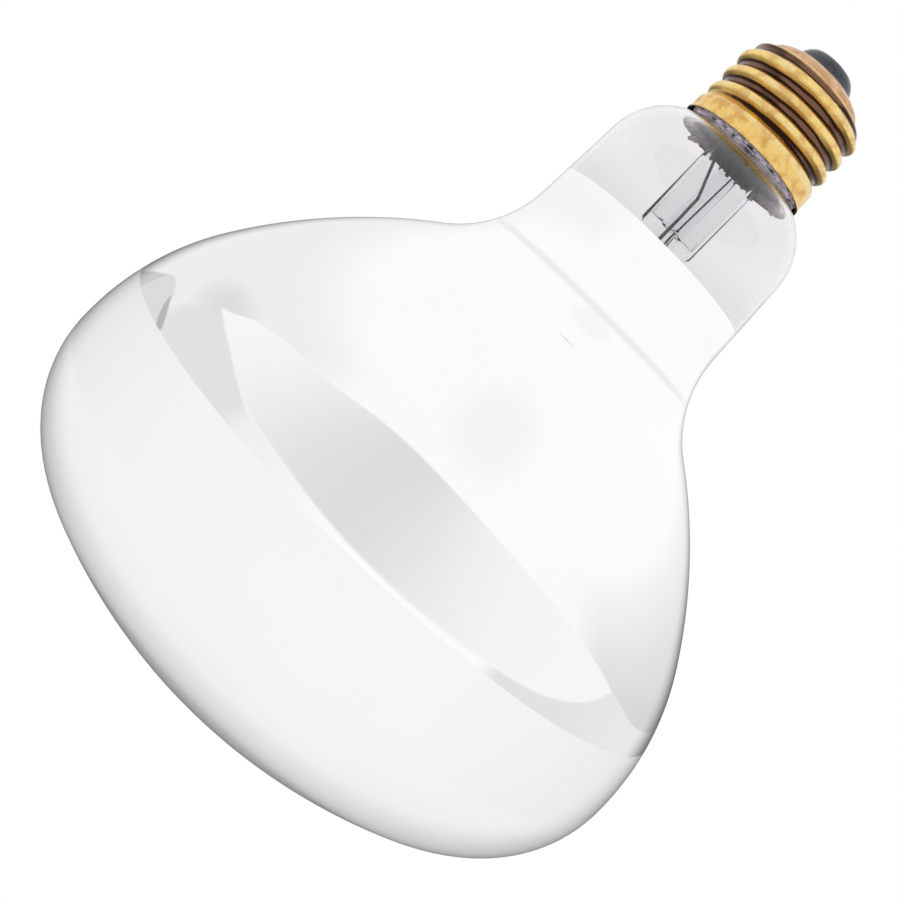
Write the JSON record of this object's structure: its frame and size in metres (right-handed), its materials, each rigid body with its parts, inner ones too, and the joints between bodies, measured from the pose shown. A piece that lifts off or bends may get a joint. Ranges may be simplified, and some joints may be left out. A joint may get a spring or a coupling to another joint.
{
  "type": "infrared heat lamp bulb",
  "caption": "Blown-glass reflector heat lamp with a frosted domed face, a mirrored flank, a clear neck and a brass screw base.",
  "frame": {"origin": "lowest point of the domed face, on the lamp's axis", "axes": "+Z along the lamp's axis from the face to the screw base; -Y is the side that the picture shows"},
  "size_m": [0.127, 0.127, 0.1571],
  "materials": {
    "bulb_glass": "clear soft glass, face frosted and flank mirrored on the inside",
    "stem_glass": "clear lead glass",
    "shell_brass": "rolled sheet brass, lightly tarnished in the thread",
    "insulator_black": "glossy black moulded insulator",
    "contact_brass": "plain brass",
    "solder": "dull grey solder",
    "cement": "matt grey basing cement",
    "lead_wire": "drawn nickel-plated wire",
    "copper_lead": "drawn copper-clad wire, darkened",
    "tungsten": "drawn tungsten wire"
  },
  "bodies": {
    "root": {"glass_envelope": "bulb_glass", "screw_shell": "shell_brass", "insulator": "insulator_black", "contact_plate": "contact_brass", "centre_solder": "solder", "side_solder": "solder", "basing_cement": "cement", "stem": "stem_glass", "exhaust_tube": "stem_glass", "arbor": "stem_glass", "press_wire_centre": "copper_lead", "press_wire_side": "copper_lead", "outer_lead_centre": "copper_lead", "outer_lead_side": "copper_lead", "inner_lead_centre": "lead_wire", "inner_lead_side": "lead_wire", "support_wire_1": "tungsten", "support_wire_2": "tungsten", "support_wire_3": "tungsten", "support_wire_4": "tungsten", "filament": "tungsten"}
  },
  "joints": []
}
